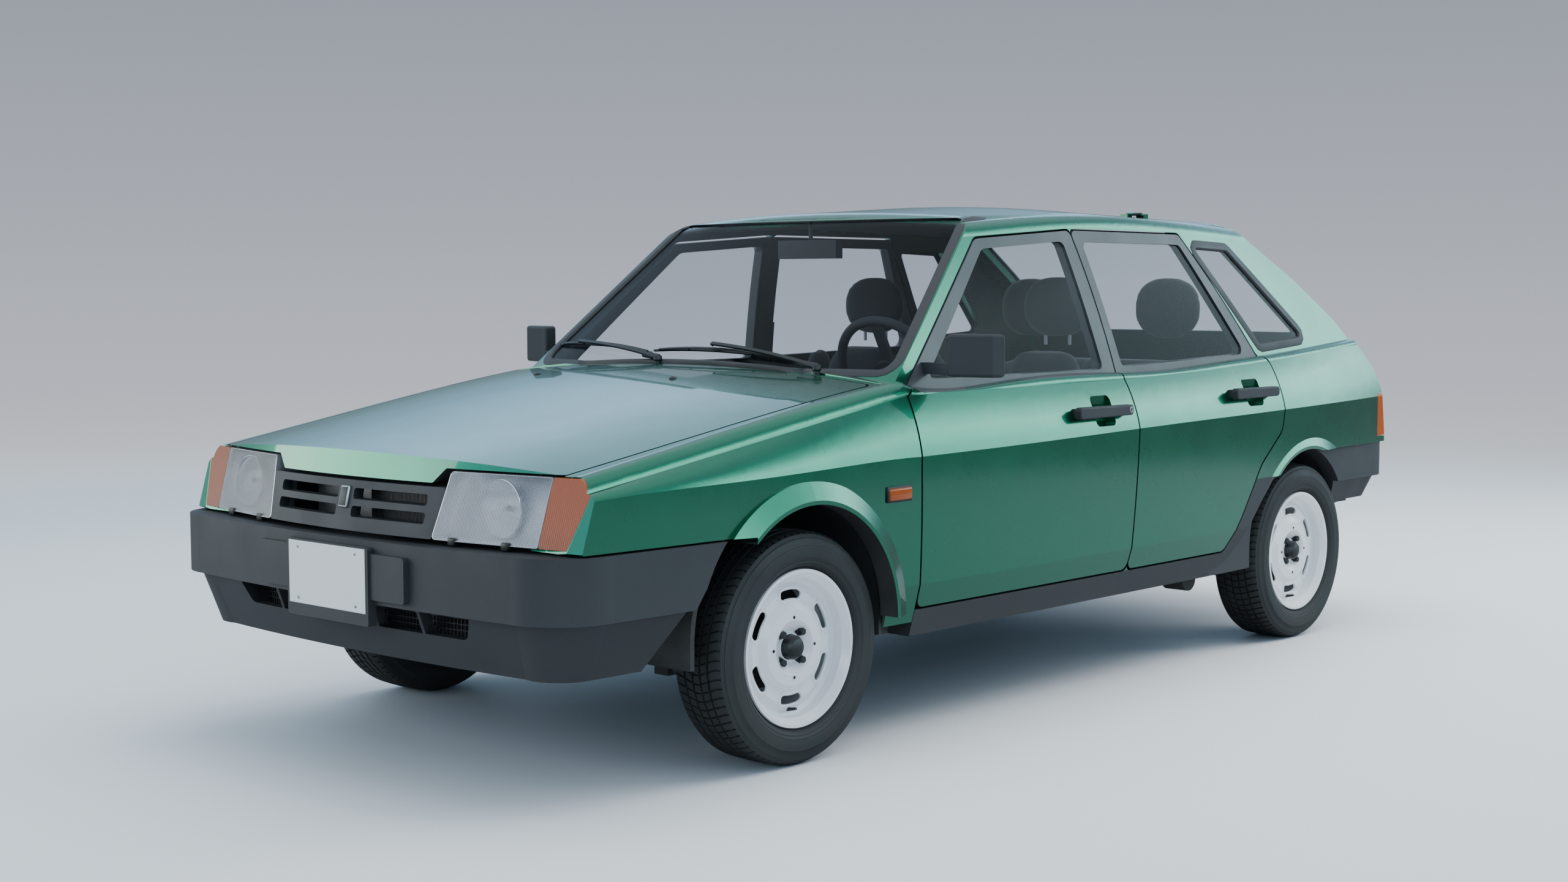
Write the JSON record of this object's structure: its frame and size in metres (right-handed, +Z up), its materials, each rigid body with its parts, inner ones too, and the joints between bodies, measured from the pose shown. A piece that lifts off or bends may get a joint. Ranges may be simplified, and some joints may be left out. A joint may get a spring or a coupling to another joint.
{
  "type": "hatchback car",
  "caption": "Small family hatchback with side doors, rear tailgate, opening bonnet, steering front wheels and a hollow furnished cabin.",
  "frame": {"origin": "middle of the overall length and width, on the ground", "axes": "+X to the car's left, +Y to its rear, +Z up"},
  "size_m": [1.8608, 4.0106, 1.4108],
  "materials": {
    "body_paint": "metallic gloss",
    "under_paint": "satin",
    "bumper_plastic": "fine grain",
    "tinted_glass": "clear, smoke tint",
    "lamp_glass": "fluted, clear",
    "amber_lens": "gloss",
    "red_lens": "gloss",
    "wheel_paint": "gloss",
    "tyre": "matt rubber",
    "cast_metal": "dull",
    "cabin_plastic": "fine grain",
    "seat_fabric": "woven",
    "plate_white": "plain"
  },
  "bodies": {
    "body": {"cowl": "body_paint", "dashboard": "cabin_plastic", "engine": "cast_metal", "exhaust": "cast_metal", "floor_pan": "under_paint", "front_arms": "under_paint", "front_bumper": "bumper_plastic", "front_indicators": "amber_lens", "front_seats": "seat_fabric", "front_structure": "under_paint", "front_wings": "body_paint", "fuel_tank": "cast_metal", "grille": "bumper_plastic", "headlamps": "lamp_glass", "interior_mirror": "cabin_plastic", "number_plates": "plate_white", "quarter_windows": "tinted_glass", "radiator": "cast_metal", "rear_axle": "under_paint", "rear_bumper": "bumper_plastic", "rear_seat": "seat_fabric", "roof_panel": "body_paint", "side_frames": "body_paint", "sill_trims": "bumper_plastic", "tail_lamps": "red_lens", "windscreen": "tinted_glass", "wipers": "cabin_plastic"},
    "bonnet": {"bonnet": "body_paint"},
    "tailgate": {"tailgate": "body_paint", "tailgate_glass": "tinted_glass"},
    "steering_wheel": {"steering_wheel": "cabin_plastic"},
    "front_door_left": {"door_front_left": "body_paint", "glass_front_left": "tinted_glass", "door_trim_front_left": "bumper_plastic"},
    "rear_door_left": {"door_rear_left": "body_paint", "glass_rear_left": "tinted_glass", "door_trim_rear_left": "bumper_plastic"},
    "knuckle_left": {"knuckle_left": "under_paint"},
    "wheel_front_left": {"rim_front_left": "wheel_paint", "tyre_front_left": "tyre"},
    "wheel_rear_left": {"rim_rear_left": "wheel_paint", "tyre_rear_left": "tyre"},
    "front_door_right": {"door_front_right": "body_paint", "glass_front_right": "tinted_glass", "door_trim_front_right": "bumper_plastic"},
    "rear_door_right": {"door_rear_right": "body_paint", "glass_rear_right": "tinted_glass", "door_trim_rear_right": "bumper_plastic"},
    "knuckle_right": {"knuckle_right": "under_paint"},
    "wheel_front_right": {"rim_front_right": "wheel_paint", "tyre_front_right": "tyre"},
    "wheel_rear_right": {"rim_rear_right": "wheel_paint", "tyre_rear_right": "tyre"}
  },
  "joints": [
    {"name": "bonnet_hinge", "type": "hinge", "parent": "body", "child": "bonnet", "pos_m": [0, -0.821, 0.957], "axis": [-1, 0, 0], "range_deg": [0, 50]},
    {"name": "tailgate_hinge", "type": "hinge", "parent": "body", "child": "tailgate", "pos_m": [0, 1.114, 1.403], "axis": [1, 0, 0], "range_deg": [0, 75]},
    {"name": "front_door_hinge_left", "type": "hinge", "parent": "body", "child": "front_door_left", "pos_m": [0.817, -0.747, 0.75], "axis": [0.0599, 0, -0.9982], "range_deg": [0, 65]},
    {"name": "rear_door_hinge_left", "type": "hinge", "parent": "body", "child": "rear_door_left", "pos_m": [0.817, 0.213, 0.75], "axis": [0.0598, 0.0399, -0.9974], "range_deg": [0, 65]},
    {"name": "kingpin_left", "type": "hinge", "parent": "body", "child": "knuckle_left", "pos_m": [0.622, -1.173, 0.288], "axis": [0.1867, 0, -0.9824], "range_deg": [-34, 34]},
    {"name": "wheel_front_left_spin", "type": "hinge", "parent": "knuckle_left", "child": "wheel_front_left", "pos_m": [0.696, -1.173, 0.288], "axis": [1, 0, 0], "continuous": true},
    {"name": "wheel_rear_left_spin", "type": "hinge", "parent": "body", "child": "wheel_rear_left", "pos_m": [0.696, 1.287, 0.288], "axis": [1, 0, 0], "continuous": true},
    {"name": "front_door_hinge_right", "type": "hinge", "parent": "body", "child": "front_door_right", "pos_m": [-0.817, -0.747, 0.75], "axis": [0.0599, 0, 0.9982], "range_deg": [0, 65]},
    {"name": "rear_door_hinge_right", "type": "hinge", "parent": "body", "child": "rear_door_right", "pos_m": [-0.817, 0.213, 0.75], "axis": [0.0598, -0.0399, 0.9974], "range_deg": [0, 65]},
    {"name": "kingpin_right", "type": "hinge", "parent": "body", "child": "knuckle_right", "pos_m": [-0.622, -1.173, 0.288], "axis": [-0.1867, 0, -0.9824], "range_deg": [-34, 34]},
    {"name": "wheel_front_right_spin", "type": "hinge", "parent": "knuckle_right", "child": "wheel_front_right", "pos_m": [-0.696, -1.173, 0.288], "axis": [1, 0, 0], "continuous": true},
    {"name": "wheel_rear_right_spin", "type": "hinge", "parent": "body", "child": "wheel_rear_right", "pos_m": [-0.696, 1.287, 0.288], "axis": [1, 0, 0], "continuous": true},
    {"name": "steering_column", "type": "hinge", "parent": "body", "child": "steering_wheel", "pos_m": [0.37, -0.323, 0.905], "axis": [0, -0.8776, -0.4794], "range_deg": [-540, 540]}
  ],
  "couplings": [
    {"joint": "kingpin_left", "follows": "steering_column", "ratio": 0.061111},
    {"joint": "kingpin_right", "follows": "steering_column", "ratio": 0.061111}
  ]
}
